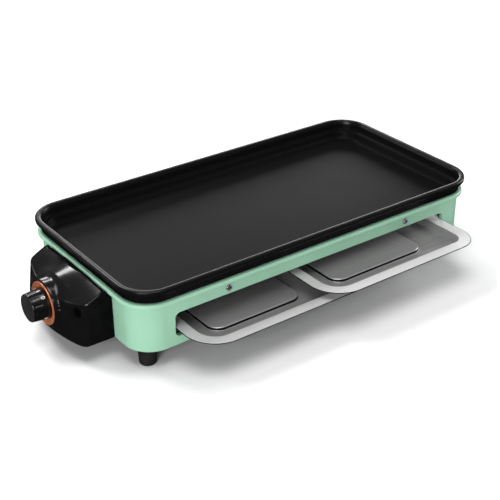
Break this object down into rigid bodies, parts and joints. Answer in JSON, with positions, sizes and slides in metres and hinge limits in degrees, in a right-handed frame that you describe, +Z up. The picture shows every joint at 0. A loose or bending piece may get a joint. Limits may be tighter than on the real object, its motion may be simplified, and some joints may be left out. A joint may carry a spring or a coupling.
{
  "type": "electric griddle",
  "caption": "Table-top electric griddle: lift-off non-stick pan over a tubular element, housing with pull-out trays, and a thermostat knob on the end control box.",
  "frame": {"origin": "middle of the footprint, from the knob's face to the pan's right rim and from the upper tray's front edge to the pan's rear rim, on the surface that the feet stand on", "axes": "+X along the length, from the control box to the right end; -Y towards the tray side, the front; +Z up"},
  "size_m": [0.5396, 0.297, 0.097],
  "materials": {
    "mint_enamel": "satin",
    "non_stick": "satin",
    "stainless": "satin",
    "zinc_steel": "dull",
    "screw_steel": "polished",
    "element_steel": "heat darkened",
    "box_plastic": "semi-gloss",
    "knob_plastic": "gloss",
    "copper_ring": "satin copper",
    "rubber": "matt",
    "ceramic": "matt ceramic",
    "lead_red": "matt",
    "lead_blue": "matt",
    "lead_green": "matt"
  },
  "bodies": {
    "base": {"base_plate": "zinc_steel", "box_back_plate": "zinc_steel", "box_screw_front": "zinc_steel", "box_screw_rear": "zinc_steel", "control_box": "box_plastic", "cord_gland": "rubber", "cross_strap_front": "zinc_steel", "cross_strap_rear": "zinc_steel", "crossbar_left": "zinc_steel", "crossbar_right": "zinc_steel", "dial_ring": "copper_ring", "earth_screw": "zinc_steel", "element_bush_front": "ceramic", "element_bush_rear": "ceramic", "element_clip_left_front": "zinc_steel", "element_clip_left_rear": "zinc_steel", "element_clip_right_front": "zinc_steel", "element_clip_right_rear": "zinc_steel", "foot_front_left": "rubber", "foot_front_right": "rubber", "foot_rear_left": "rubber", "foot_rear_right": "rubber", "foot_screw_front_left": "zinc_steel", "foot_screw_front_right": "zinc_steel", "foot_screw_rear_left": "zinc_steel", "foot_screw_rear_right": "zinc_steel", "heating_element": "element_steel", "housing_nut_front_left": "zinc_steel", "housing_nut_front_right": "zinc_steel", "housing_nut_rear_left": "zinc_steel", "housing_nut_rear_right": "zinc_steel", "housing_screw_front_left": "screw_steel", "housing_screw_front_right": "screw_steel", "housing_screw_rear_left": "screw_steel", "housing_screw_rear_right": "screw_steel", "housing_shell": "mint_enamel", "lead_earth": "lead_green", "lead_live": "lead_red", "lead_neutral_block": "lead_blue", "lead_neutral_element": "lead_blue", "lead_switched": "lead_red", "rail_lower_left": "zinc_steel", "rail_lower_right": "zinc_steel", "rail_upper_left": "zinc_steel", "rail_upper_right": "zinc_steel", "terminal_block": "ceramic", "terminal_pin_front": "zinc_steel", "terminal_pin_rear": "zinc_steel", "thermal_fuse": "ceramic", "thermostat_body": "ceramic", "thermostat_bracket": "zinc_steel", "thermostat_tab_in": "copper_ring", "thermostat_tab_out": "copper_ring"},
    "griddle_pan": {"griddle_pan": "non_stick"},
    "left_tray": {"left_tray": "stainless"},
    "right_tray": {"right_tray": "stainless"},
    "knob": {"knob": "knob_plastic", "thermostat_shaft": "zinc_steel"}
  },
  "joints": [
    {"name": "knob_turn", "type": "hinge", "parent": "base", "child": "knob", "pos_m": [-0.2602, 0.0285, 0.05], "axis": [1, 0, 0], "range_deg": [0, 270]},
    {"name": "left_tray_slide", "type": "slide", "parent": "base", "child": "left_tray", "axis": [0, -1, 0], "range_m": [-0.04, 0.15]},
    {"name": "right_tray_slide", "type": "slide", "parent": "base", "child": "right_tray", "axis": [0, -1, 0], "range_m": [-0.052, 0.138]},
    {"name": "pan_lift", "type": "slide", "parent": "base", "child": "griddle_pan", "axis": [0, 0, 1], "range_m": [0, 0.12]}
  ]
}
